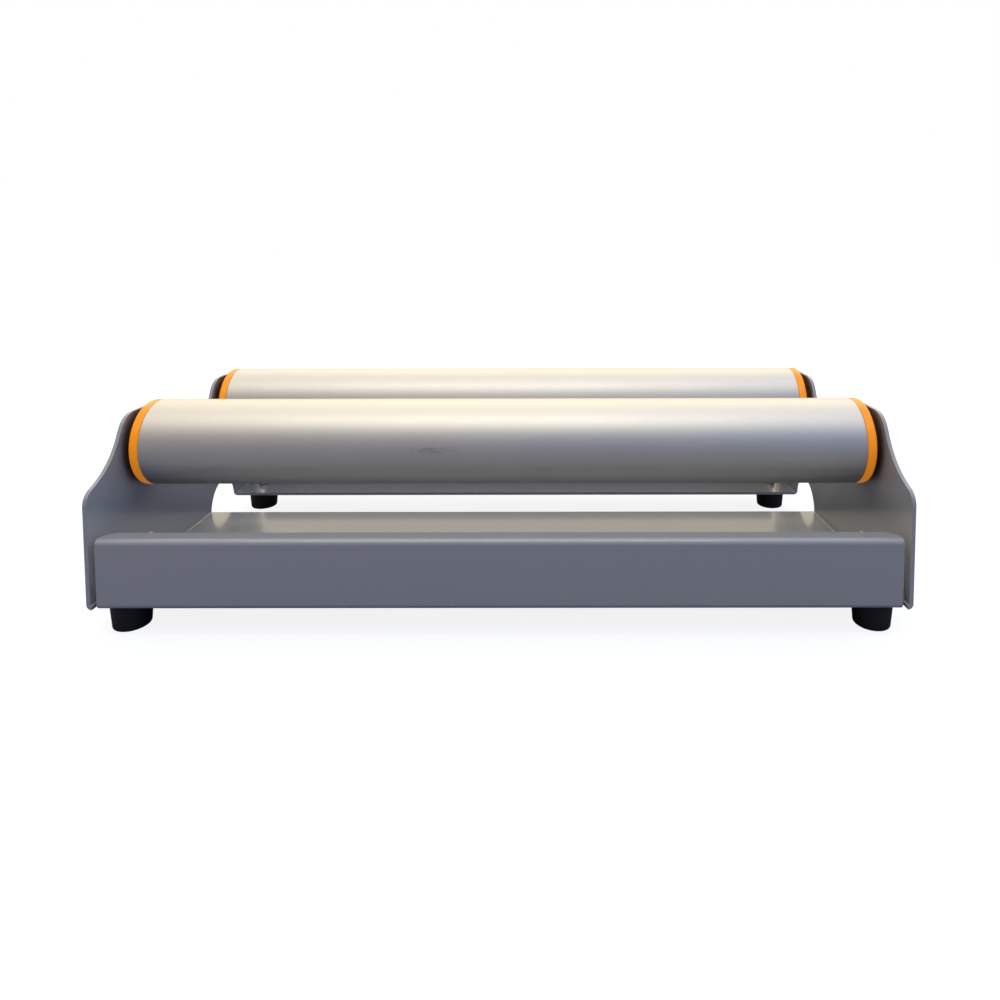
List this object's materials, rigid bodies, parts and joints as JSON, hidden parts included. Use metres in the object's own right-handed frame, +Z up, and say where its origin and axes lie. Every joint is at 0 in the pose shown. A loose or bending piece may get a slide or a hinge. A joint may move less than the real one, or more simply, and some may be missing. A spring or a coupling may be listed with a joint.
{
  "type": "roll cradle",
  "caption": "Desktop cradle for rolls of sign vinyl: a folded grey steel chassis on rubber feet holds parallel free-turning aluminium rollers with orange end caps.",
  "frame": {"origin": "centre of the footprint, on the surface that the feet stand on", "axes": "+X along the rollers to the right as seen from the front, -Y towards the front lip, +Z up"},
  "size_m": [0.5374, 0.264, 0.1398],
  "materials": {
    "powder_grey": "fine satin powder coat, mid grey",
    "satin_aluminium": "satin anodised, fine drawn grain along the tube",
    "orange_plastic": "moulded, glossy",
    "bearing_steel": "ground and polished",
    "zinc_steel": "bright zinc plate",
    "black_rubber": "moulded, matte"
  },
  "bodies": {
    "root": {"chassis": "powder_grey", "front_axle": "zinc_steel", "rear_axle": "zinc_steel", "bearing_inner_race_front_left": "bearing_steel", "axle_spacer_front_left": "zinc_steel", "axle_washer_front_left": "zinc_steel", "axle_screw_front_left": "zinc_steel", "foot_screw_front_left": "zinc_steel", "foot_nut_front_left": "zinc_steel", "foot_front_left": "black_rubber", "bearing_inner_race_front_right": "bearing_steel", "axle_spacer_front_right": "zinc_steel", "axle_washer_front_right": "zinc_steel", "axle_screw_front_right": "zinc_steel", "foot_screw_front_right": "zinc_steel", "foot_nut_front_right": "zinc_steel", "foot_front_right": "black_rubber", "bearing_inner_race_rear_left": "bearing_steel", "axle_spacer_rear_left": "zinc_steel", "axle_washer_rear_left": "zinc_steel", "axle_screw_rear_left": "zinc_steel", "foot_screw_rear_left": "zinc_steel", "foot_nut_rear_left": "zinc_steel", "foot_rear_left": "black_rubber", "bearing_inner_race_rear_right": "bearing_steel", "axle_spacer_rear_right": "zinc_steel", "axle_washer_rear_right": "zinc_steel", "axle_screw_rear_right": "zinc_steel", "foot_screw_rear_right": "zinc_steel", "foot_nut_rear_right": "zinc_steel", "foot_rear_right": "black_rubber", "side_screw_left": "zinc_steel", "side_nut_left": "zinc_steel", "side_screw_right": "zinc_steel", "side_nut_right": "zinc_steel"},
    "front_roller": {"front_roller_tube": "satin_aluminium", "end_cap_front_left": "orange_plastic", "bearing_outer_race_front_left": "bearing_steel", "bearing_balls_front_left": "bearing_steel", "end_cap_front_right": "orange_plastic", "bearing_outer_race_front_right": "bearing_steel", "bearing_balls_front_right": "bearing_steel"},
    "rear_roller": {"rear_roller_tube": "satin_aluminium", "end_cap_rear_left": "orange_plastic", "bearing_outer_race_rear_left": "bearing_steel", "bearing_balls_rear_left": "bearing_steel", "end_cap_rear_right": "orange_plastic", "bearing_outer_race_rear_right": "bearing_steel", "bearing_balls_rear_right": "bearing_steel"}
  },
  "joints": [
    {"name": "front_roller_spin", "type": "hinge", "parent": "root", "child": "front_roller", "pos_m": [0, -0.065, 0.1098], "axis": [1, 0, 0], "continuous": true},
    {"name": "rear_roller_spin", "type": "hinge", "parent": "root", "child": "rear_roller", "pos_m": [0, 0.065, 0.1098], "axis": [1, 0, 0], "continuous": true}
  ]
}
